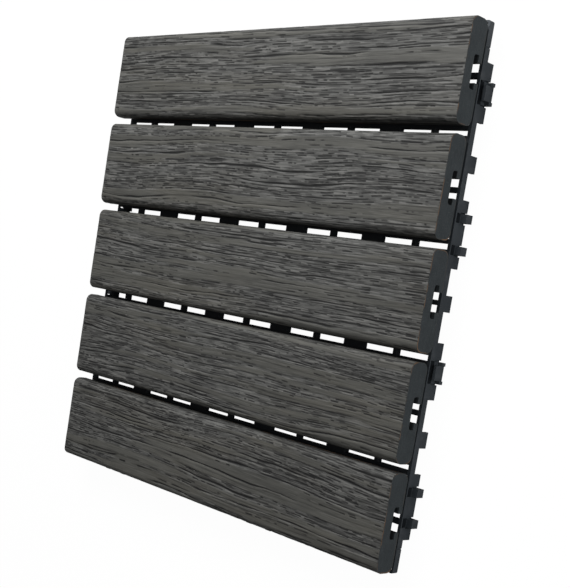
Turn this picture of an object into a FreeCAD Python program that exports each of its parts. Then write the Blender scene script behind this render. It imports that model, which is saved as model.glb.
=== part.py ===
import FreeCAD, Part
import os
import Sketcher

# Interlocking deck tile: five wood-composite slats on a moulded plastic grid.
# Millimetres. X runs along the slats, Z is up, and the feet stand on Z = 0.
# The origin is under the middle of the tile.

# Driving dimensions
SIZES = {
    # Slats
    "slat_count": 5,
    "slat_length": 300.0,
    "slat_width": 55.7,
    "slat_gap": 4.8,
    "slat_thickness": 13.5,
    "slat_edge_radius": 4.5,
    "second_slat_set_back": 0.6,
    "third_slat_set_out": 0.8,
    # Undercut slot along the underside of each slat
    "slot_mouth_width": 10.6,
    "slot_lip_thickness": 3.2,
    "slot_head_width": 18.0,
    "slot_head_height": 3.8,
    "slot_head_rounding": 1.5,
    # Grid, seen from above
    "base_side": 299.4,
    "base_corner_radius": 1.2,
    "wall_thickness": 2.0,
    "cell_pitch": 62.1,
    "cell_count": 5,
    "cross_rib_thickness": 2.4,
    "strip_width": 14.6,
    "slat_rib_thickness": 2.8,
    "rail_thickness": 2.4,
    "drain_slot_width": 3.2,
    # Grid, heights
    "foot_height": 5.5,
    "grid_height": 4.0,
    "seat_height": 1.5,
    "strip_skin": 2.0,
    "strip_wall": 1.8,
    # Studs and seats that carry the slats
    "seat_width": 34.0,
    "stud_length": 12.0,
    "stud_side_clearance": 0.3,
    "stud_lip_clearance": 0.2,
    "stud_head_clearance": 0.9,
    # Feet under the strips
    "inner_foot_side": 12.0,
    "inner_foot_wall": 2.0,
    # Edge connectors, the same on all four sides, a quarter of a tile apart
    "connector_pitch": 75.0,
    "connector_end_distance": 37.2,
    "tab_skirt_above": 16.2,
    "tab_skirt_below": 15.2,
    "ear_skirt_half": 18.4,
    "mid_foot_half": 4.5,
    "tab_width": 12.0,
    "tab_reach": 3.4,
    "tab_cheek_height": 2.4,
    "tab_block_width": 8.2,
    "tab_block_reach": 2.7,
    "tab_block_height": 6.7,
    "tab_block_gap": 1.0,
    "tab_clearance": 0.3,
    "ear_height": 5.2,
    "ear_thickness": 4.7,
    "ear_reach": 3.9,
    "window_height": 3.1,
    "window_margin": 0.3,
    "ledge_depth": 4.2,
    "ledge_margin": 1.6,
    "relief_width": 0.8,
    "relief_depth": 1.2,
    "socket_notch_height": 2.6,
    # Corners of the grid
    "corner_length": 14.0,
    "corner_relief": 0.8,
    "seam_width": 0.6,
    "seam_depth": 0.4,
    # How far a cut runs past the face that it opens
    "cut_margin": 1.0,
}

# Values that follow from the driving dimensions
DERIVED = {
    "slat_pitch": "slat_width + slat_gap",
    "base_half": "base_side / 2",
    "grid_top": "foot_height + grid_height",
    "seat_top": "grid_top + seat_height",
    "stud_neck_top": "seat_top + slot_lip_thickness + stud_lip_clearance",
    "stud_top": "seat_top + slot_lip_thickness + slot_head_height - stud_head_clearance",
    "outer_tab": "base_half - connector_end_distance",
    "inner_tab": "outer_tab - connector_pitch * 2",
    "ear_inner": "tab_width / 2 + tab_clearance",
    "ear_outer": "ear_inner + ear_thickness",
}

doc = FreeCAD.newDocument("deck_tile")
sheet = doc.addObject("Spreadsheet::Sheet", "sizes")
row = 1
for alias, number in SIZES.items():
    sheet.set(f"A{row}", alias)
    sheet.set(f"B{row}", str(number))
    sheet.setAlias(f"B{row}", alias)
    row += 1
for alias, formula in DERIVED.items():
    sheet.set(f"A{row}", alias)
    sheet.set(f"B{row}", "=" + formula)
    sheet.setAlias(f"B{row}", alias)
    row += 1
doc.recompute()


def bound(formula):
    """The formula with each size's name pointed at the sheet."""
    words = []
    word = ""
    for letter in formula + " ":
        if letter.isalnum() or letter == "_":
            word += letter
            continue
        if word in SIZES or word in DERIVED:
            word = "sizes." + word
        words.append(word + letter)
        word = ""
    return "".join(words).strip()


def size(formula):
    """The number that a formula gives."""
    return float(sheet.evalExpression(bound(formula)))


def origin_plane(body, role):
    return next(item for item in body.Origin.OriginFeatures if item.Role == role)


def cross_section(body, name):
    """A sketch across the body, on the plane that its length runs square to."""
    sketch = body.newObject("Sketcher::SketchObject", name)
    sketch.AttachmentSupport = (origin_plane(body, "YZ_Plane"), "")
    sketch.MapMode = "FlatFace"
    return sketch


def pin(sketch, direction, line, end, formula):
    """Holds one end of a line at a formula's distance from the sketch's origin."""
    distance = size(formula)
    if distance >= 0:
        constraint = Sketcher.Constraint(direction, -1, 1, line, end, distance)
        held = bound(formula)
    else:
        constraint = Sketcher.Constraint(direction, line, end, -1, 1, -distance)
        held = "-(" + bound(formula) + ")"
    index = sketch.addConstraint(constraint)
    sketch.setExpression(f"Constraints[{index}]", held)


def rectangle(sketch, left, right, low, high):
    """A rectangle between two formulas across and two formulas up."""
    xs = (size(left), size(right))
    ys = (size(low), size(high))
    corners = [(xs[0], ys[0]), (xs[1], ys[0]), (xs[1], ys[1]), (xs[0], ys[1])]
    first = len(sketch.Geometry)
    for step in range(4):
        start = FreeCAD.Vector(*corners[step], 0)
        finish = FreeCAD.Vector(*corners[(step + 1) % 4], 0)
        sketch.addGeometry(Part.LineSegment(start, finish), False)
    for step in range(4):
        follower = first + (step + 1) % 4
        sketch.addConstraint(Sketcher.Constraint("Coincident", first + step, 2, follower, 1))
    for step, rule in enumerate(("Horizontal", "Vertical", "Horizontal", "Vertical")):
        sketch.addConstraint(Sketcher.Constraint(rule, first + step))
    pin(sketch, "DistanceX", first, 1, left)
    pin(sketch, "DistanceY", first, 1, low)
    pin(sketch, "DistanceX", first + 2, 1, right)
    pin(sketch, "DistanceY", first + 2, 1, high)


def pad(body, name, sketch, length):
    """Raises a sketch evenly to both sides of its plane."""
    feature = body.newObject("PartDesign::Pad", name)
    feature.Profile = sketch
    feature.Midplane = True
    feature.setExpression("Length", bound(length))
    return feature


def pocket(body, name, sketch, length):
    """Cuts a sketch out of the body, evenly to both sides of its plane."""
    feature = body.newObject("PartDesign::Pocket", name)
    feature.Profile = sketch
    feature.Midplane = True
    feature.setExpression("Length", bound(length))
    return feature


def long_edges(shape, half_width, height=None):
    """The names of the edges along X that lie half a width from the middle, at one height or any."""
    names = []
    for index, edge in enumerate(shape.Edges, start=1):
        middle = edge.CenterOfMass
        along = abs(edge.tangentAt(edge.FirstParameter).x) > 0.99
        beside = abs(abs(middle.y) - half_width) < 0.001
        level = height is None or abs(middle.z - height) < 0.001
        if along and beside and level:
            names.append(f"Edge{index}")
    return names


def fillet(body, name, base, edges, radius):
    """Rounds some of the body's edges."""
    feature = body.newObject("PartDesign::Fillet", name)
    feature.Base = (base, edges)
    feature.setExpression("Radius", bound(radius))
    body.Tip = feature
    return feature


def block(name, x, y, z):
    """A block between two formulas along each axis."""
    box = doc.addObject("Part::Box", name)
    for side, axis, (low, high) in zip(("Length", "Width", "Height"), "xyz", (x, y, z)):
        box.setExpression(side, bound(f"({high}) - ({low})"))
        box.setExpression(f"Placement.Base.{axis}", bound(low))
    return box


def around(middle, half):
    """The stretch that reaches half each way from a middle."""
    return (f"{middle} - ({half})", f"{middle} + ({half})")


def mirrored(stretch):
    low, high = stretch
    return (f"-({high})", f"-({low})")


def on_four_sides(name, x, y, z):
    """A block of the +X side, and its copies turned on to the other three sides."""
    turned = ((x, y), (mirrored(y), x), (mirrored(x), mirrored(y)), (y, mirrored(x)))
    blocks = []
    for side, (across, along) in enumerate(turned, start=1):
        blocks.append(block(f"{name}_side_{side}", across, along, z))
    return blocks


def joined(name, blocks):
    """One solid from blocks that touch or cross."""
    whole = doc.addObject("Part::MultiFuse", name)
    whole.Shapes = blocks
    whole.Refine = True
    return whole


# Middles of the edge connectors on the +X side, as formulas of Y. Tabs and ears mirror each other,
# so a tab meets the ears of the tile beside it.
TAB_MIDDLES = ("outer_tab", "inner_tab")
EAR_MIDDLES = ("-inner_tab", "-outer_tab")
MID_FEET = ("connector_pitch", "0", "-connector_pitch")

# Heights that whole groups of blocks share
GROUND = ("0", "foot_height")
GRID = ("foot_height", "grid_top")
WALL = ("base_half - wall_thickness", "base_half")
SPAN = ("-(base_half - wall_thickness / 2)", "base_half - wall_thickness / 2")


def cell_middles():
    """The middle of each cell along X, where a thin rib crosses under the slats."""
    count = round(size("cell_count"))
    return [f"({number} - (cell_count - 1) / 2) * cell_pitch" for number in range(count)]


def strip_middles():
    """The middles of the wide strips, each between two cells."""
    return [f"({middle} + cell_pitch / 2)" for middle in cell_middles()[:-1]]


def slat_middles():
    """The middle of each slat along Y, from the highest down."""
    count = round(size("slat_count"))
    return [f"((slat_count - 1) / 2 - {number}) * slat_pitch" for number in range(count)]


def gap_middles():
    """The middle of the gap below each slat but the last."""
    return [f"({middle} - slat_pitch / 2)" for middle in slat_middles()[:-1]]


def outer_wall():
    """The square wall round the grid, with rounded corners."""
    full = ("-base_half", "base_half")
    inside = ("-(base_half - wall_thickness)", "base_half - wall_thickness")
    plate = block("wall_blank", full, full, GRID)
    doc.recompute()
    rounded = doc.addObject("Part::Fillet", "wall_rounded")
    rounded.Base = plate
    radius = size("base_corner_radius")
    edges = []
    for number, edge in enumerate(plate.Shape.Edges, start=1):
        if abs(edge.tangentAt(edge.FirstParameter).z) > 0.99:
            edges.append((number, radius, radius))
    rounded.Edges = edges
    wall = doc.addObject("Part::Cut", "outer_wall")
    wall.Base = rounded
    wall.Tool = block("wall_inside", inside, inside, GRID)
    return [wall]


def cross_ribs():
    """Thin ribs across the tile, under the middle of each cell."""
    ribs = []
    for number, middle in enumerate(cell_middles(), start=1):
        ribs.append(block(f"cross_rib_{number}", around(middle, "cross_rib_thickness / 2"), SPAN, GRID))
    return ribs


def strips():
    """Wide strips across the tile, each a flat skin on two walls."""
    made = []
    for number, middle in enumerate(strip_middles(), start=1):
        left = f"{middle} - strip_width / 2"
        right = f"{middle} + strip_width / 2"
        skin = ("grid_top - strip_skin", "grid_top")
        made.append(block(f"strip_{number}_skin", (left, right), SPAN, skin))
        made.append(block(f"strip_{number}_left", (left, f"{left} + strip_wall"), SPAN, GRID))
        made.append(block(f"strip_{number}_right", (f"{right} - strip_wall", right), SPAN, GRID))
    return made


def long_ribs():
    """Ribs along the tile: one under the middle of each slat, and a rail each side of a gap."""
    ribs = []
    for number, middle in enumerate(slat_middles(), start=1):
        ribs.append(block(f"slat_rib_{number}", SPAN, around(middle, "slat_rib_thickness / 2"), GRID))
    near = "drain_slot_width / 2"
    far = "drain_slot_width / 2 + rail_thickness"
    for number, middle in enumerate(gap_middles(), start=1):
        upper = (f"{middle} + {near}", f"{middle} + {far}")
        lower = (f"{middle} - ({far})", f"{middle} - {near}")
        ribs.append(block(f"rail_above_gap_{number}", SPAN, upper, GRID))
        ribs.append(block(f"rail_below_gap_{number}", SPAN, lower, GRID))
    return ribs


def stations():
    """Each place where a strip passes under the middle of a slat, with a name ending."""
    for strip, x in enumerate(strip_middles(), start=1):
        for slat, y in enumerate(slat_middles(), start=1):
            yield f"{strip}_{slat}", x, y


def seats_and_studs():
    """Raised seats that the slats lie on, each with a stud whose head fills the slat's slot."""
    made = []
    for place, x, y in stations():
        seat = around(y, "seat_width / 2")
        made.append(block(f"seat_{place}", around(x, "strip_width / 2"), seat, ("grid_top", "seat_top")))
        length = around(x, "stud_length / 2")
        neck = around(y, "slot_mouth_width / 2 - stud_side_clearance")
        made.append(block(f"stud_neck_{place}", length, neck, ("grid_top", "stud_neck_top")))
        head = around(y, "slot_head_width / 2 - stud_side_clearance")
        made.append(block(f"stud_head_{place}", length, head, ("stud_neck_top", "stud_top")))
    return made


def inner_feet():
    """Square feet under the strips, one under the middle of each slat."""
    made = []
    for place, x, y in stations():
        half = "inner_foot_side / 2"
        height = ("0", "grid_top - strip_skin")
        made.append(block(f"inner_foot_{place}", around(x, half), around(y, half), height))
    return made


def inner_foot_hollows():
    """The hollows that make those feet square tubes, open to the ground."""
    made = []
    for place, x, y in stations():
        half = "inner_foot_side / 2 - inner_foot_wall"
        made.append(block(f"foot_hollow_{place}", around(x, half), around(y, half), GROUND))
    return made


def skirts():
    """The parts of the wall that reach the ground, round the connectors and between them."""
    stretches = [(f"{middle} - tab_skirt_below", f"{middle} + tab_skirt_above") for middle in TAB_MIDDLES]
    stretches += [around(middle, "ear_skirt_half") for middle in EAR_MIDDLES]
    stretches += [around(middle, "mid_foot_half") for middle in MID_FEET]
    made = []
    for number, stretch in enumerate(stretches, start=1):
        made += on_four_sides(f"skirt_{number}", WALL, stretch, GROUND)
    return made


def tabs():
    """Tabs that drop between a neighbour's ears: a tall block between two low cheeks that stand out."""
    made = []
    inner = "base_half - wall_thickness / 2"
    cheek = (inner, "base_half + tab_reach")
    body = (inner, "base_half + tab_block_reach")
    low = ("0", "tab_cheek_height")
    tall = ("0", "tab_block_height")
    for number, middle in enumerate(TAB_MIDDLES, start=1):
        above = (f"{middle} + tab_block_width / 2", f"{middle} + tab_width / 2")
        below = (f"{middle} - tab_width / 2", f"{middle} - tab_block_width / 2")
        made += on_four_sides(f"tab_cheek_above_{number}", cheek, above, low)
        made += on_four_sides(f"tab_cheek_below_{number}", cheek, below, low)
        made += on_four_sides(f"tab_block_{number}", body, around(middle, "tab_block_width / 2"), tall)
    return made


def ear_stretches():
    """Where the ears stand along a side, as formulas."""
    stretches = []
    for middle in EAR_MIDDLES:
        stretches.append((f"{middle} - ear_outer", f"{middle} - ear_inner"))
        stretches.append((f"{middle} + ear_inner", f"{middle} + ear_outer"))
    return stretches


def ears():
    """Pairs of ears that a neighbour's tab drops between."""
    made = []
    reach = ("base_half - wall_thickness / 2", "base_half + ear_reach")
    for number, stretch in enumerate(ear_stretches(), start=1):
        made += on_four_sides(f"ear_{number}", reach, stretch, ("0", "ear_height"))
    return made


def ledges():
    """Solid ledges behind the skirts, as high as the windows' sills, one for each connector."""
    made = []
    behind = ("base_half - ledge_depth", "base_half - wall_thickness / 2")
    halves = [(middle, "tab_width / 2") for middle in TAB_MIDDLES]
    halves += [(middle, "ear_outer") for middle in EAR_MIDDLES]
    for number, (middle, half) in enumerate(halves, start=1):
        stretch = around(middle, f"{half} + ledge_margin")
        made += on_four_sides(f"ledge_{number}", behind, stretch, GROUND)
    return made


def windows():
    """Windows through the wall, straight above each tab and each ear, that free the top of a tab's block."""
    stretches = [around(middle, "tab_width / 2") for middle in TAB_MIDDLES]
    stretches += ear_stretches()
    made = []
    deep = ("base_half - wall_thickness - cut_margin", "base_half + tab_block_gap")
    height = ("foot_height", "foot_height + window_height")
    for number, (low, high) in enumerate(stretches, start=1):
        opening = (f"{low} - window_margin", f"{high} + window_margin")
        made += on_four_sides(f"window_{number}", deep, opening, height)
    return made


def reliefs():
    """Fine upright grooves in the wall: beside each tab, outside each ear, and low down inside it."""
    groove = ("base_half - relief_depth", "base_half + cut_margin")
    tall = ("-cut_margin", "foot_height")
    low = ("-cut_margin", "socket_notch_height")
    stretches = [(middle, "tab_width / 2", tall) for middle in TAB_MIDDLES]
    stretches += [(middle, "ear_outer", tall) for middle in EAR_MIDDLES]
    stretches += [(middle, "ear_inner - relief_width", low) for middle in EAR_MIDDLES]
    made = []
    for number, (middle, edge, height) in enumerate(stretches, start=1):
        upper = (f"{middle} + {edge}", f"{middle} + {edge} + relief_width")
        lower = (f"{middle} - ({edge}) - relief_width", f"{middle} - ({edge})")
        made += on_four_sides(f"relief_above_{number}", groove, upper, height)
        made += on_four_sides(f"relief_below_{number}", groove, lower, height)
    return made


def corner_cuts():
    """The wall thinned from inside at each corner, and a fine seam where that stretch ends."""
    made = []
    corner = "base_half - corner_length"
    inner = "base_half - wall_thickness + corner_relief"
    relief = ("base_half - wall_thickness - cut_margin", inner)
    seam = ("base_half - seam_depth", "base_half + cut_margin")
    full = ("foot_height", "grid_top + cut_margin")
    for name, turn in (("upper", lambda stretch: stretch), ("lower", mirrored)):
        made += on_four_sides(f"corner_relief_{name}", relief, turn((corner, inner)), full)
        made += on_four_sides(f"corner_seam_{name}", seam, turn(around(corner, "seam_width / 2")), full)
    return made


def make_base_grid():
    """The whole grid is one moulding."""
    solid = outer_wall() + cross_ribs() + strips() + long_ribs() + inner_feet()
    solid += seats_and_studs() + skirts() + ledges() + tabs() + ears()
    cuts = inner_foot_hollows() + windows() + reliefs() + corner_cuts()
    grid = doc.addObject("Part::Cut", "base_grid")
    grid.Label = "base_grid"
    grid.Base = joined("grid_blank", solid)
    grid.Tool = joined("grid_cuts", cuts)
    grid.Refine = True
    return grid


def make_slat(number, set_out):
    """A slat: a rounded bar with an undercut slot along its underside. Slat 1 lies furthest up Y."""
    body = doc.addObject("PartDesign::Body", f"slat_{number}")
    body.Label = f"slat_{number}"
    sketch = cross_section(body, f"slat_{number}_section")
    rectangle(sketch, "-slat_width / 2", "slat_width / 2", "0", "slat_thickness")
    pad(body, f"slat_{number}_bar", sketch, "slat_length")

    sketch = cross_section(body, f"slat_{number}_mouth_section")
    mouth = "slot_mouth_width / 2"
    rectangle(sketch, f"-{mouth}", mouth, "0", "slot_lip_thickness")
    pocket(body, f"slat_{number}_mouth", sketch, "slat_length")

    sketch = cross_section(body, f"slat_{number}_head_section")
    head = "slot_head_width / 2"
    top = "slot_lip_thickness + slot_head_height"
    rectangle(sketch, f"-{head}", head, "slot_lip_thickness", top)
    slot = pocket(body, f"slat_{number}_head", sketch, "slat_length")
    doc.recompute()

    edges = long_edges(slot.Shape, size("slot_head_width / 2"), size("slot_lip_thickness + slot_head_height"))
    eased = fillet(body, f"slat_{number}_slot_eased", slot, edges, "slot_head_rounding")
    doc.recompute()
    edges = long_edges(eased.Shape, size("slat_width / 2"))
    fillet(body, f"slat_{number}_rounded", eased, edges, "slat_edge_radius")

    body.setExpression("Placement.Base.x", bound(set_out))
    body.setExpression("Placement.Base.y", bound(f"((slat_count + 1) / 2 - {number}) * slat_pitch"))
    body.setExpression("Placement.Base.z", bound("seat_top"))
    return body


# The second and third slats were slid on a little short and a little far
SET_OUT = {2: "-second_slat_set_back", 3: "third_slat_set_out"}

parts = [make_base_grid()]
for slat_number in range(1, round(SIZES["slat_count"]) + 1):
    parts.append(make_slat(slat_number, SET_OUT.get(slat_number, "0")))
doc.recompute()

for item in doc.Objects:
    if "Invalid" in item.State or "Error" in item.State:
        raise RuntimeError(f"{item.Name} failed: {item.State}")
for part in parts:
    if part.Shape.isNull() or not part.Shape.isValid():
        raise RuntimeError(f"{part.Label} has no valid shape")
    if len(part.Shape.Solids) != 1:
        raise RuntimeError(f"{part.Label} is {len(part.Shape.Solids)} solids, not one")

os.makedirs("parts", exist_ok=True)
for part in parts:
    part.Shape.exportStep(f"parts/{part.Label}.step")
    box = part.Shape.BoundBox
    print(
        f"{part.Label}: {part.Shape.Volume / 1000:.1f} cm3, "
        f"X {box.XMin:.2f} to {box.XMax:.2f}, Y {box.YMin:.2f} to {box.YMax:.2f}, "
        f"Z {box.ZMin:.2f} to {box.ZMax:.2f}"
    )
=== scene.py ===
import math

import bmesh
import bpy
from mathutils import Matrix, Vector, noise


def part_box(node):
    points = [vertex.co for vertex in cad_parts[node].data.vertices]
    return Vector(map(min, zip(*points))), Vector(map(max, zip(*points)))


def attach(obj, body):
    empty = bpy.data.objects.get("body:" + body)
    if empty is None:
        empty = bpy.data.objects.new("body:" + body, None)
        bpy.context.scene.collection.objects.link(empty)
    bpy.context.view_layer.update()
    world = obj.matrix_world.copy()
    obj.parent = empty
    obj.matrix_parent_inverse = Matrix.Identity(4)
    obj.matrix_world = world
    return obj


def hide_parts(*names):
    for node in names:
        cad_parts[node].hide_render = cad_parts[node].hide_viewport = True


# Interlocking deck tile: five composite slats with an embossed grain on a moulded plastic grid.
# Metres in Blender, millimetres in the sizes below. X runs along the slats, Z is up.

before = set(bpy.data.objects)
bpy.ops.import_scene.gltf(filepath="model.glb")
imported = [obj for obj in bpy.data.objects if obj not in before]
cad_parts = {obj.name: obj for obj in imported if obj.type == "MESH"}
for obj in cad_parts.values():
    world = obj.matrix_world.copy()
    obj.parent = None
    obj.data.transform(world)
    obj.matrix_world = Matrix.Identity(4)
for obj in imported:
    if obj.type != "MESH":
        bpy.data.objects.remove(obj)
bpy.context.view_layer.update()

MM = 0.001
SLATS = ("slat_1", "slat_2", "slat_3", "slat_4", "slat_5")

# Points nearer to each other than this are taken as one
SAME_PLACE = 0.01

# Camera, solved from the edges that show in the photograph, with its lens in the photograph's pixels
PHOTOGRAPH_HEIGHT = 588
FOCAL_PIXELS = 1134.04
SHIFT_PIXELS = 96
SENSOR_WIDTH = 36.0
CAMERA_PLACE = (523.08, -4.14, 496.40)
CAMERA_SIGHT = (-0.69704, -0.09071, -0.71127)
CAMERA_UP = (-0.17947, 0.98246, 0.05059)

# Section of a slat, as in the part's source
EDGE_RADIUS = 4.5
SLOT_MOUTH = 10.6
SLOT_LIP = 3.2
SLOT_HEAD = 18.0
SLOT_HEAD_HEIGHT = 3.8
SLOT_HEAD_ROUNDING = 1.5
SLAT_PITCH = 60.5

# The cap on a slat's core. Its rim shows at the sawn ends, which all lie past SAWN_END from the middle.
CAP_THICKNESS = 0.4
CAP_EDGE_HEIGHT = 16.2
# Heights between which painted shade darkens the slats' sides towards their foot
PAINTED_SIDE_SHADE_TOP = 23.0
PAINTED_SIDE_SHADE_FOOT = 19.0
SAWN_END = 148.9

# Grid, as in the part's source, and the rounding that its mould leaves on the edges
GRID_HALF = 149.7
WALL = 2.0
MOULD_ROUNDING = 0.22

# Mesh that carries the grain
GRAIN_STEP_ALONG = 0.85
GRAIN_STEP_ACROSS = 0.30
EDGE_SEGMENTS = 13
SLOT_SEGMENTS = 4
SHORTEST_CUT_EDGE = 4.0

# Embossed grain: the distances between its rows, the half widths and lengths of its lines, its depths
PORE_ROWS = 1.3
STREAK_ROWS = 0.8
LINE_ROWS = 2.2
LINE_HALF = 0.22
LINE_LENGTH = 80.0
FURROW_ROWS = 6.8
FURROW_HALF = 0.40
FURROW_LENGTH = 90.0
SKIN_DEPTH = 0.12
PORE_DEPTH = 0.18
LINE_DEPTH = 0.14
FURROW_DEPTH = 0.32
END_DEPTH_SHARE = 0.35
END_LENGTH = 1.5

# Seeds of the slats. Each pattern of the grain adds a number of its own to its slat's seed.
FIRST_SEED = 101.7
SEED_STEP = 13.37

# Steps in the noise from one row to the next, far enough that the rows have nothing in common
ROW_STEP_ALONG = 17.31
ROW_STEP_ACROSS = 5.77
FIRST_ROW = 0.37

# Colours of the cap, dark and pale where a finish runs between two
ROUGH_GROUND = (0.033, 0.033, 0.032, 1), (0.162, 0.162, 0.155, 1)
SMOOTH_GROUND = (0.060, 0.060, 0.056, 1), (0.135, 0.133, 0.120, 1)
WARM_CAST = (0.112, 0.102, 0.078, 1)
GREY_SHADE = (0.036, 0.036, 0.035, 1)
DARK_FIBRE = (0.022, 0.022, 0.021, 1)
DARK_SCRATCH = (0.020, 0.020, 0.020, 1)
# Painted highlight on fine raised lines of the grain
PALE_LINE_HIGHLIGHT = (0.240, 0.238, 0.226, 1)
# Dark of the pores, furrows and fine lines: partly the grain's own colour, partly painted shade in the
# grooves
GROOVE_DARK_AND_SHADE = (0.007, 0.007, 0.007, 1)
# Painted shade on the lower part of the slats' sides
PAINTED_SIDE_SHADE = (0.016, 0.016, 0.016, 1)
BARE_SIDE = (0.030, 0.033, 0.034, 1)
CAP_EDGE_LINE = (0.170, 0.096, 0.050, 1)

# Colours of the core
CORE_GROUND = (0.030, 0.037, 0.041, 1), (0.054, 0.064, 0.069, 1)
PALE_GRIT = (0.095, 0.104, 0.108, 1)
SAW_MARK = (0.020, 0.024, 0.027, 1)
CAP_RIM = (0.052, 0.053, 0.050, 1)
BROWN_LINE = (0.260, 0.135, 0.060, 1)
BROWN_LINE_BELOW = (0.125, 0.098, 0.080, 1)
# Painted shade on the core's faces in the slot and underneath, away from the sawn ends
PAINTED_SLOT_SHADE = (0.009, 0.010, 0.011, 1)

# Colours of the grid
PLASTIC_GROUND = (0.032, 0.039, 0.046, 1), (0.050, 0.059, 0.068, 1)
DUST = (0.085, 0.094, 0.102, 1)
PALE_SPARK = (0.100, 0.107, 0.112, 1)
# Painted shade on the grid's parts inside its outer wall
INNER_PAINTED_SHADE = (0.010, 0.011, 0.013, 1)

# Studio
WHITE = (1, 1, 1, 1)
FLOOR_GREY = (0.5, 0.5, 0.5, 1)
FLOOR_SIZE = 4.0
FLOOR_GLOW = 1.05
FLOOR_GLOW_SHARE = 0.93
AMBIENT_LIGHT = 0.08
BACKGROUND_LIGHT = 0.982


# Objects in the scene

def put(name, data):
    """An object in the scene, at the origin."""
    made = bpy.data.objects.new(name, data)
    bpy.context.scene.collection.objects.link(made)
    return made


def put_shape(name, bm, materials):
    """A finished shape as an object at the origin, with its materials."""
    mesh = bpy.data.meshes.new(name)
    bm.to_mesh(mesh)
    bm.free()
    for material in materials:
        mesh.materials.append(material)
    return put(name, mesh)


def photograph_camera():
    """The camera at the photograph's viewing angle."""
    data = bpy.data.cameras.new("photograph_view")
    data.sensor_width = SENSOR_WIDTH
    data.lens = FOCAL_PIXELS / PHOTOGRAPH_HEIGHT * SENSOR_WIDTH
    data.shift_y = SHIFT_PIXELS / PHOTOGRAPH_HEIGHT
    data.clip_start = 0.01
    data.clip_end = 20.0
    back = -Vector(CAMERA_SIGHT).normalized()
    right = Vector(CAMERA_UP).cross(back).normalized()
    up = back.cross(right)
    turn = Matrix((right, up, back)).transposed().to_4x4()
    camera = put("photograph_view", data)
    camera.matrix_world = Matrix.Translation(Vector(CAMERA_PLACE) * MM) @ turn
    bpy.context.scene.camera = camera


photograph_camera()


# Finishes

class Value:
    """A socket that can be reckoned with, each sum adding its own Math node."""

    def __init__(self, nodes, socket):
        self.nodes = nodes
        self.socket = socket

    def reckon(self, operation, *terms):
        """The result of one Math node on the terms."""
        return self.nodes.node("ShaderNodeMath", {"operation": operation}, dict(enumerate(terms)))

    def __add__(self, other):
        return self.reckon("ADD", self, other)

    def __radd__(self, other):
        return self.reckon("ADD", other, self)

    def __sub__(self, other):
        return self.reckon("SUBTRACT", self, other)

    def __rsub__(self, other):
        return self.reckon("SUBTRACT", other, self)

    def __mul__(self, other):
        return self.reckon("MULTIPLY", self, other)

    def __rmul__(self, other):
        return self.reckon("MULTIPLY", other, self)

    def __abs__(self):
        return self.reckon("ABSOLUTE", self)

    def at_least(self, other):
        return self.reckon("MAXIMUM", self, other)

    def root(self):
        return self.reckon("SQRT", self)

    def wrapped(self, pitch):
        """The value's offset from the nearest whole number of pitches."""
        return self.reckon("WRAP", self, pitch / 2, -pitch / 2)


class Nodes:
    """The nodes of a material or of the world, from an empty start."""

    def __init__(self, owner, end_kind):
        owner.use_nodes = True
        self.tree = owner.node_tree
        self.tree.nodes.clear()
        self.end = self.tree.nodes.new(end_kind)

    def feed(self, socket, value):
        """Links a value to a socket, or sets a plain number or colour on it."""
        if isinstance(value, Value):
            self.tree.links.new(value.socket, socket)
        else:
            socket.default_value = value

    def node(self, kind, settings, inputs, output=0):
        """Any node: its settings first, then the values or links of its sockets."""
        made = self.tree.nodes.new(kind)
        for name, setting in settings.items():
            setattr(made, name, setting)
        for name, value in inputs.items():
            self.feed(made.inputs[name], value)
        return Value(self, made.outputs[output])

    def ray(self, kind):
        """One where a ray is of a kind, and nought for the others."""
        return self.node("ShaderNodeLightPath", {}, {}, kind)

    def show(self, shader):
        """Ends the nodes in a shader."""
        self.feed(self.end.inputs["Surface"], shader)

    def show_mixed(self, amount, first, second):
        """Ends the nodes in two shaders mixed."""
        self.show(self.node("ShaderNodeMixShader", {}, {0: amount, 1: first, 2: second}))


class Finish(Nodes):
    """A material under construction, on one Principled shader."""

    def __init__(self, name):
        self.material = bpy.data.materials.new(name)
        super().__init__(self.material, "ShaderNodeOutputMaterial")
        self.shader = self.node("ShaderNodeBsdfPrincipled", {}, {})
        self.show(self.shader)

    def stretched(self, scale, shift=(0, 0, 0)):
        """The point on the surface, in a pattern's own units per metre along each axis."""
        place = self.node("ShaderNodeTexCoord", {}, {}, "Object")
        inputs = {"Vector": place, "Scale": scale, "Location": shift}
        return self.node("ShaderNodeMapping", {}, inputs)

    def cloud(self, scale, detail=3.0, shift=(0, 0, 0), roughness=0.5):
        """Soft noise between nought and one, with a size along each axis."""
        place = self.stretched(scale, shift)
        inputs = {"Vector": place, "Scale": 1.0, "Detail": detail, "Roughness": roughness}
        return self.node("ShaderNodeTexNoise", {}, inputs, "Fac")

    def band(self, value, none, full):
        """Nought at one end of a range, one at the other, and a smooth change between."""
        settings = {"interpolation_type": "SMOOTHSTEP"}
        inputs = {"Value": value, "From Min": none, "From Max": full}
        return self.node("ShaderNodeMapRange", settings, inputs)

    def mix(self, amount, first, second):
        """Two colours mixed, which the Mix node takes at sockets 6 and 7 and gives at output 2."""
        return self.node("ShaderNodeMix", {"data_type": "RGBA"}, {0: amount, 6: first, 7: second}, 2)

    def parts(self, kind, whole):
        """The three numbers that a colour or a point holds."""
        split = self.node(kind, {}, {0: whole}).socket.node
        return [Value(self, socket) for socket in split.outputs]

    def attribute(self, name):
        """The three numbers that a piece's mesh carries under a name."""
        stored = self.node("ShaderNodeAttribute", {"attribute_name": name}, {}, "Color")
        return self.parts("ShaderNodeSeparateColor", stored)

    def axes(self):
        """The point's three coordinates, in millimetres."""
        return self.parts("ShaderNodeSeparateXYZ", self.stretched((1 / MM, 1 / MM, 1 / MM)))

    def bump(self, height, depth, strength):
        """Fine relief of a depth in millimetres."""
        inputs = {"Height": height, "Distance": depth * MM, "Strength": strength}
        return self.node("ShaderNodeBump", {}, inputs, "Normal")

    def set(self, **values):
        """Feeds the shader's own sockets, and gives the material."""
        sockets = self.shader.socket.node.inputs
        for name, value in values.items():
            self.feed(sockets[name.replace("_", " ")], value)
        return self.material


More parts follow.
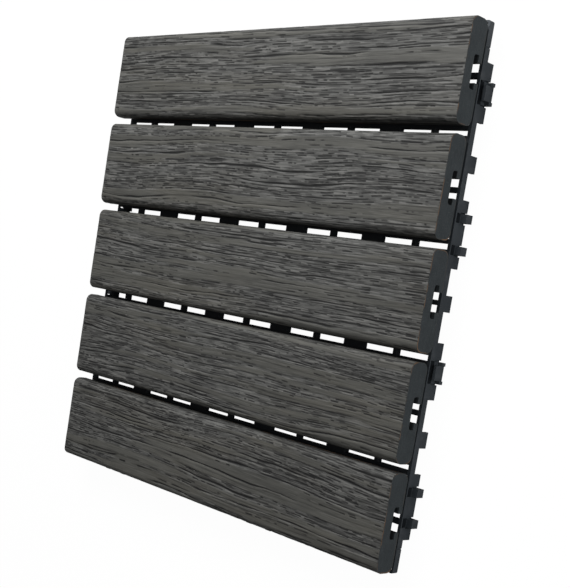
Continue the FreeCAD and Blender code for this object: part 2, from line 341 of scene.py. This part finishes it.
def embossed_cap():
    """The grey cap of a slat: smooth bands, pores, long furrows and a faint printed tint."""
    finish = Finish("embossed_cap")
    dark, smooth, tone = finish.attribute("grain")
    fibre = finish.cloud((55, 950, 950))
    scratch = finish.cloud((55, 1300, 1300), 1.0, (1.7, 2.2, 0))
    gleam = finish.cloud((45, 1300, 1300), 1.0, (6.1, 4.4, 0))
    cast = finish.cloud((9, 60, 60), 3.0, (5.3, 1.9, 0))
    shade = finish.cloud((14, 170, 170), 3.0, (0.4, 8.8, 0))

    colour = finish.mix(smooth, finish.mix(tone, *ROUGH_GROUND), finish.mix(tone, *SMOOTH_GROUND))
    colour = finish.mix(finish.band(cast, 0.46, 0.68) * 0.24, colour, WARM_CAST)
    colour = finish.mix(finish.band(shade, 0.56, 0.34) * 0.24, colour, GREY_SHADE)
    rough = 1 - smooth * 0.65
    colour = finish.mix(finish.band(fibre, 0.56, 0.38) * rough * 0.12, colour, DARK_FIBRE)
    colour = finish.mix(finish.band(scratch, 0.59, 0.61) * rough * 0.60, colour, DARK_SCRATCH)
    # Painted highlight: thin pale lines where the bump also raises the grain
    colour = finish.mix(finish.band(gleam, 0.60, 0.62) * rough * 0.45, colour, PALE_LINE_HIGHLIGHT)
    # Pores, furrows and fine lines darkened: partly the grain's own dark, partly painted shade in the
    # grooves
    colour = finish.mix(dark, colour, GROOVE_DARK_AND_SHADE)

    height = finish.axes()[2]
    # Painted shade: the cap darkens down the slats' sides towards their foot
    side = finish.band(height, PAINTED_SIDE_SHADE_TOP, PAINTED_SIDE_SHADE_FOOT)
    bare = finish.band(height, CAP_EDGE_HEIGHT, CAP_EDGE_HEIGHT - 0.3)
    line = finish.band(abs(height - CAP_EDGE_HEIGHT), 0.42, 0.12) * finish.band(shade, 0.36, 0.50)
    colour = finish.mix(side * 0.55, colour, PAINTED_SIDE_SHADE)
    colour = finish.mix(bare * 0.85, colour, BARE_SIDE)
    colour = finish.mix(line * 0.75, colour, CAP_EDGE_LINE)

    roughness = 0.60 + (1 - smooth) * 0.10 + dark * 0.10
    relief = finish.bump(fibre * 0.6 + gleam * 0.5 - scratch * 0.4, 0.12, 0.8)
    return finish.set(Base_Color=colour, Roughness=roughness, Normal=relief, Specular_IOR_Level=0.42)


def sawn_core():
    """A slat's core and sawn ends, where the cap is a thin rim with a brown line inside it, and painted
    shade in the slot and underneath.
    """
    finish = Finish("sawn_core")
    along, across, height = finish.axes()
    low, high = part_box("slat_1")
    half_width = (high[1] - low[1]) / MM / 2
    half_height = (high[2] - low[2]) / MM / 2
    middle = (high[2] + low[2]) / MM / 2
    beside = (abs(across.wrapped(SLAT_PITCH)) - (half_width - EDGE_RADIUS)).at_least(0)
    above = (abs(height - middle) - (half_height - EDGE_RADIUS)).at_least(0)
    wander = finish.cloud((300, 300, 300), 2.0) * 0.3 - 0.15
    inside = EDGE_RADIUS - (beside * beside + above * above).root() - wander
    rim = finish.band(inside, CAP_THICKNESS, CAP_THICKNESS - 0.2)
    line = finish.band(abs(inside - CAP_THICKNESS), 0.30, 0.06)
    broken = finish.band(finish.cloud((8, 110, 110), 3.0, (2.2, 0, 0)), 0.46, 0.66)
    below = finish.band(height - middle, 2.0 - half_height, 0.5 - half_height)
    end = finish.band(abs(along), SAWN_END, SAWN_END + 0.1)

    grit = finish.cloud((1400, 1400, 1400))
    blotch = finish.cloud((120, 120, 160), 3.0, (1.0, 2.0, 3.0))
    saw = finish.cloud((60, 160, 2400), 2.0, (4.0, 0, 0))
    colour = finish.mix(blotch, *CORE_GROUND)
    colour = finish.mix(finish.band(grit, 0.52, 0.70) * 0.45, colour, PALE_GRIT)
    colour = finish.mix(finish.band(saw, 0.55, 0.40) * 0.35, colour, SAW_MARK)
    colour = finish.mix(rim * end * 0.7, colour, CAP_RIM)
    line_colour = finish.mix(below, BROWN_LINE, BROWN_LINE_BELOW)
    colour = finish.mix(line * end * broken * (0.90 - below * 0.55), colour, line_colour)
    # Painted shade on the core away from the sawn ends, in the slot and underneath
    colour = finish.mix((1 - end) * 0.75, colour, PAINTED_SLOT_SHADE)

    roughness = 0.72 + grit * 0.12
    relief = finish.bump(grit * 0.6 + saw * 0.4, 0.10, 0.7)
    return finish.set(Base_Color=colour, Roughness=roughness, Normal=relief, Specular_IOR_Level=0.35)


def moulded_plastic():
    """Black-grey polypropylene with a fine spark texture, a little scuffed and dusty, and painted shade
    inside its outer wall.
    """
    finish = Finish("moulded_plastic")
    spark = finish.cloud((1800, 1800, 1800), 2.0)
    flow = finish.cloud((26, 26, 60), 3.0, (0.3, 0.9, 0.1))
    dust = finish.cloud((160, 160, 160), 5.0, (2.3, 4.9, 0.1), 0.6)
    along, across, _ = finish.axes()
    from_middle = abs(along).at_least(abs(across))
    # Painted shade: the parts inside the outer wall are darkened
    inside = finish.band(from_middle, GRID_HALF - WALL, GRID_HALF - WALL - 0.3)

    colour = finish.mix(finish.band(flow, 0.32, 0.68), *PLASTIC_GROUND)
    colour = finish.mix(finish.band(dust, 0.50, 0.74) * 0.40, colour, DUST)
    colour = finish.mix(finish.band(spark, 0.58, 0.76) * 0.20, colour, PALE_SPARK)
    colour = finish.mix(inside * 0.75, colour, INNER_PAINTED_SHADE)

    roughness = 0.44 + finish.band(flow, 0.3, 0.7) * 0.14 + dust * 0.08
    relief = finish.bump(spark, 0.05, 0.5)
    return finish.set(Base_Color=colour, Roughness=roughness, Normal=relief, Specular_IOR_Level=0.45)


CAP = embossed_cap()
CORE = sawn_core()
PLASTIC = moulded_plastic()


# Embossed grain

def held(low, high, value):
    """A value held inside a range."""
    return min(max(value, low), high)


def step(low, high, value):
    """Nought below a range, one above it, and a smooth rise inside."""
    share = held(0.0, 1.0, (value - low) / (high - low))
    return share * share * (3 - 2 * share)


def near(full, none, distance):
    """One near a line, nought further away on either side, and a smooth fall between."""
    return 1 - step(full, none, abs(distance))


def drift(along, across, length, width, seed):
    """Soft noise of a length along the grain and a width across it."""
    return noise.noise((along / length, across / width, seed))


def along_row(along, row, length, seed):
    """Noise along one row that has nothing to do with the next row's."""
    return noise.noise((along / length + row * ROW_STEP_ALONG, row * ROW_STEP_ACROSS + FIRST_ROW, seed))


def straightened(along, across, seed):
    """Where a point lies across the grain, counted from lines that bend as the grain does."""
    line = across + 6.0 * drift(along, across, 240, 70, seed - 4.7)
    line += 2.7 * drift(along, across, 80, 24, seed)
    return line + 0.5 * drift(along, across, 27, 9, seed + 5.1)


def smooth_band(along, row, middle, seed):
    """One in the smooth bands between the pores, and nought elsewhere, with ragged ends."""
    jagged = along + 7.0 * along_row(0.0, row, 1.0, seed + 3.3)
    zone = drift(jagged, middle, 260, 5.0, seed + 11.3) + 0.24 * drift(jagged, middle, 60, 3.0, seed + 17.7)
    return step(0.12, 0.19, zone)


def pore_run(along, row, smooth, seed):
    """How strong the pores of a row are: short runs and gaps, with few runs in a smooth band."""
    run = along_row(along, row, 9.0, seed + 23.9) + 0.45 * along_row(along, row, 3.6, seed + 29.0)
    weight = held(0.40, 1.0, 0.85 + 0.9 * along_row(along, row, 14.0, seed + 27.1))
    kept = step(0.12, 0.20, along_row(along, row, 45.0, seed + 31.3))
    return step(0.0, 0.05, run) * weight * (1 - smooth * (1 - kept))


def wandering_line(along, line, spacing, width, length, seed):
    """A point's offset from the line that wanders along its row, that line's half width and its share."""
    row = math.floor(line / spacing)
    wander = 0.20 * along_row(along, row, 48.0, seed) + 0.07 * along_row(along, row, 13.0, seed + 2.2)
    offset = line - (row + 0.5 + wander) * spacing
    half = max(width * (1 + 1.4 * along_row(along, row, 26.0, seed + 6.1)), 0.4 * width)
    share = step(-0.04, 0.10, along_row(along, row, length, seed + 4.4))
    return offset, half, share


def grain(along, across, seed):
    """Depth in millimetres of the embossing at a point of a slat's skin, and its three tones."""
    line = straightened(along, across, seed)
    row = math.floor(line / PORE_ROWS)
    middle = (row + 0.5) * PORE_ROWS
    smooth = smooth_band(along, row, middle, seed)

    offset, half, share = wandering_line(along, line, FURROW_ROWS, FURROW_HALF, FURROW_LENGTH, seed + 37.1)
    furrow = near(half * 0.6, half * 1.2, offset) * share
    # Painted highlight: a paler line along one lip of each furrow, with no ridge in the mesh
    lip_highlight = near(0.25, 0.6, offset + half * 1.3 + 0.4) * share
    hollow = near(0.5, 3.2, offset) * share
    apart = 1 - 0.85 * near(0.6, 1.6, offset) * share

    off = (line - middle - 0.3 * along_row(along, row, 22.0, seed + 19.1)) / PORE_ROWS
    run = pore_run(along, row, smooth, seed) * apart
    groove = near(0.17, 0.40, off) * run
    pores = near(0.18, 0.34, off) * run
    offset, half, share = wandering_line(along, line, LINE_ROWS, LINE_HALF, LINE_LENGTH, seed + 53.3)
    fine = near(half * 0.8, half * 1.5, offset) * share * (1 - 0.6 * smooth) * apart

    streak = along_row(along, math.floor((line + 0.4) / STREAK_ROWS), 9.0, seed + 71.9)
    streak = (step(0.07, 0.12, streak) - step(0.07, 0.12, -streak)) * (1 - 0.7 * smooth)
    # The cap's tone, with the painted highlight along each furrow's lip added in
    wash = 0.53 + 0.20 * streak + 0.22 * along_row(along, row, 38.0, seed + 75.1)
    wash += 0.25 * drift(along, line, 60, 4.0, seed + 73.3) + 0.55 * lip_highlight - 0.12 * hollow

    depth = SKIN_DEPTH * (1 - smooth) + PORE_DEPTH * groove + FURROW_DEPTH * furrow + LINE_DEPTH * fine
    # Darkness in the pores, furrows and fine lines, partly the grain's own colour and partly painted shade
    # in the grooves
    dark = max(0.96 * pores, furrow, 0.97 * fine)
    return depth, (dark, smooth, held(0.0, 1.0, wash))


# Slats

def slat_outline(bm, low, high):
    """A slat's section at its left end, as one face with its corners rounded."""
    half = (high.y - low.y) / 2
    middle = (high.y + low.y) / 2
    height = high.z - low.z
    mouth = SLOT_MOUTH / 2 * MM
    head = SLOT_HEAD / 2 * MM
    lip = SLOT_LIP * MM
    roof = (SLOT_LIP + SLOT_HEAD_HEIGHT) * MM
    right_half = [(mouth, 0), (mouth, lip), (head, lip), (head, roof)]
    left_half = [(-y, z) for y, z in right_half]
    corners = [(half, 0), (half, height), (-half, height), (-half, 0)]
    path = left_half + right_half[::-1] + corners
    points = [bm.verts.new((low.x, middle + y, low.z + z)) for y, z in path]
    bm.faces.new(points)
    outer = (points[-4:], EDGE_RADIUS, EDGE_SEGMENTS)
    slot_roof = (points[3:5], SLOT_HEAD_ROUNDING, SLOT_SEGMENTS)
    for verts, radius, segments in (outer, slot_roof):
        bmesh.ops.bevel(
            bm, geom=verts, offset=radius * MM, offset_type="OFFSET", affect="VERTICES",
            segments=segments, profile=0.5, material=-1,
        )


def cut_across(bm, low, high):
    """Cuts the section's top and sides, so that they can carry the grain."""
    shortest = SHORTEST_CUT_EDGE * MM
    for edge in [edge for edge in bm.edges if edge.calc_length() > shortest]:
        ends = [vert.co.z - low.z for vert in edge.verts]
        on_top = min(ends) > (high.z - low.z) * 0.9
        on_side = abs(ends[0] - ends[1]) > shortest
        if on_top or on_side:
            step_across = GRAIN_STEP_ACROSS * (2 if on_side else 1)
            cuts = round(edge.calc_length() / MM / step_across)
            bmesh.ops.subdivide_edges(bm, edges=[edge], cuts=cuts)


def draw_out(bm, low, high):
    """Draws the section out along X, with cuts that carry the grain."""
    made = bmesh.ops.extrude_face_region(bm, geom=bm.faces[:])
    far = [item for item in made["geom"] if isinstance(item, bmesh.types.BMVert)]
    length = high.x - low.x
    bmesh.ops.translate(bm, vec=(length, 0, 0), verts=far)
    long_edges = [edge for edge in bm.edges if abs(edge.verts[0].co.x - edge.verts[1].co.x) > length / 2]
    step_along = GRAIN_STEP_ALONG * 1
    cuts = round(length / MM / step_along) - 1
    bmesh.ops.subdivide_edges(bm, edges=long_edges, cuts=cuts, use_grid_fill=True)
    bmesh.ops.recalc_face_normals(bm, faces=bm.faces)


def part_finishes(bm, low, high):
    """Gives the top and sides the first material and smooth shading, and the rest the second."""
    skin_depth = EDGE_RADIUS * 0.98 * MM
    for face in bm.faces:
        middle = face.calc_center_median()
        on_side = abs(middle.y - (high.y + low.y) / 2) > (high.y - low.y) / 2 - skin_depth
        on_top = middle.z > high.z - skin_depth
        skin = abs(face.normal.x) < 0.5 and (on_top or on_side) and face.normal.z > -0.8
        face.material_index = 0 if skin else 1
        face.smooth = skin
    for edge in bm.edges:
        if len({face.material_index for face in edge.link_faces}) > 1:
            edge.smooth = False


def emboss(bm, low, high, seed):
    """Presses the grain into the top and sides, and stores its tones for the cap's finish."""
    layer = bm.verts.layers.float_color.new("grain")
    radius = EDGE_RADIUS * MM
    middle = (high.y + low.y) / 2
    flat = (high.y - low.y) / 2 - radius
    for vert in bm.verts:
        y = vert.co.y - middle
        core = Vector((0, held(-flat, flat, y), held(low.z + radius, high.z - radius, vert.co.z)))
        out = Vector((0, y, vert.co.z)) - core
        if out.length < radius - SAME_PLACE * MM:
            continue
        out.normalize()
        turn = math.atan2(abs(out.y), out.z)
        side = math.copysign(1, out.y)
        across = core.y / MM + side * (turn * EDGE_RADIUS + (high.z - radius - core.z) / MM)
        along = vert.co.x / MM
        depth, tones = grain(along, across, seed)
        from_end = min(along - low.x / MM, high.x / MM - along)
        depth *= step(-0.75, 0.05, out.z)
        depth *= END_DEPTH_SHARE + (1 - END_DEPTH_SHARE) * step(0.0, END_LENGTH, from_end)
        vert.co -= out * depth * MM
        vert[layer] = (*tones, 1.0)


def make_slat(node, seed):
    """One slat: its section drawn out along X, with the grain embossed."""
    low, high = (Vector(corner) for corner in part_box(node))
    bm = bmesh.new()
    slat_outline(bm, low, high)
    cut_across(bm, low, high)
    draw_out(bm, low, high)
    part_finishes(bm, low, high)
    emboss(bm, low, high, seed)
    slat = put_shape(node + "_grained", bm, (CAP, CORE))
    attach(slat, "root")
    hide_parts(node)


for number, node in enumerate(SLATS):
    make_slat(node, FIRST_SEED + SEED_STEP * number)


# Grid

def make_grid():
    """The moulded grid with its edges eased, as they leave the mould."""
    bm = bmesh.new()
    bm.from_mesh(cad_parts["base_grid"].data)
    bmesh.ops.remove_doubles(bm, verts=bm.verts, dist=SAME_PLACE * MM)
    bmesh.ops.dissolve_limit(bm, angle_limit=math.radians(1), verts=bm.verts, edges=bm.edges)
    joined = [edge for edge in bm.edges if len(edge.link_faces) == 2]
    sharp = [edge for edge in joined if edge.calc_face_angle() > math.radians(30)]
    bmesh.ops.bevel(
        bm, geom=sharp, offset=MOULD_ROUNDING * MM, offset_type="OFFSET", affect="EDGES",
        segments=2, profile=0.5, material=-1, clamp_overlap=True,
    )
    grid = put_shape("grid_moulding", bm, (PLASTIC,))
    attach(grid, "root")
    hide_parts("base_grid")


make_grid()


# Studio

def floor():
    """A plain pale floor that the camera sees almost white and that keeps the tile's shadow."""
    finish = Finish("pale_floor")
    finish.set(Base_Color=FLOOR_GREY, Roughness=0.9, Specular_IOR_Level=0.1)
    seen = finish.ray("Is Camera Ray").at_least(finish.ray("Is Transmission Ray"))
    glow = finish.node("ShaderNodeEmission", {}, {"Color": WHITE, "Strength": FLOOR_GLOW})
    finish.show_mixed(seen * FLOOR_GLOW_SHARE, finish.shader, glow)
    bm = bmesh.new()
    bmesh.ops.create_grid(bm, x_segments=1, y_segments=1, size=FLOOR_SIZE)
    plane = put_shape("floor", bm, (finish.material,))


def surroundings():
    """A little light from all round, and white where the camera sees past the floor."""
    world = bpy.data.worlds.new("studio")
    bpy.context.scene.world = world
    sky = Nodes(world, "ShaderNodeOutputWorld")
    ambient = sky.node("ShaderNodeBackground", {}, {"Color": WHITE, "Strength": AMBIENT_LIGHT})
    white = sky.node("ShaderNodeBackground", {}, {"Color": WHITE, "Strength": BACKGROUND_LIGHT})
    sky.show_mixed(sky.ray("Is Camera Ray"), ambient, white)


def lamp(name, place, size, power):
    """A soft round lamp that faces the tile."""
    data = bpy.data.lights.new(name, "AREA")
    data.shape = "DISK"
    data.size = size
    data.energy = power
    box = put(name, data)
    box.location = place
    box.rotation_euler = (-Vector(place)).to_track_quat("-Z", "Y").to_euler()


floor()
surroundings()
lamp("key_light", place=(-0.02, 0.52, 0.52), size=0.52, power=5.75)
lamp("fill_light", place=(2.2, 0.14, 0.84), size=1.4, power=20.5)
bpy.context.scene.view_settings.view_transform = "Standard"
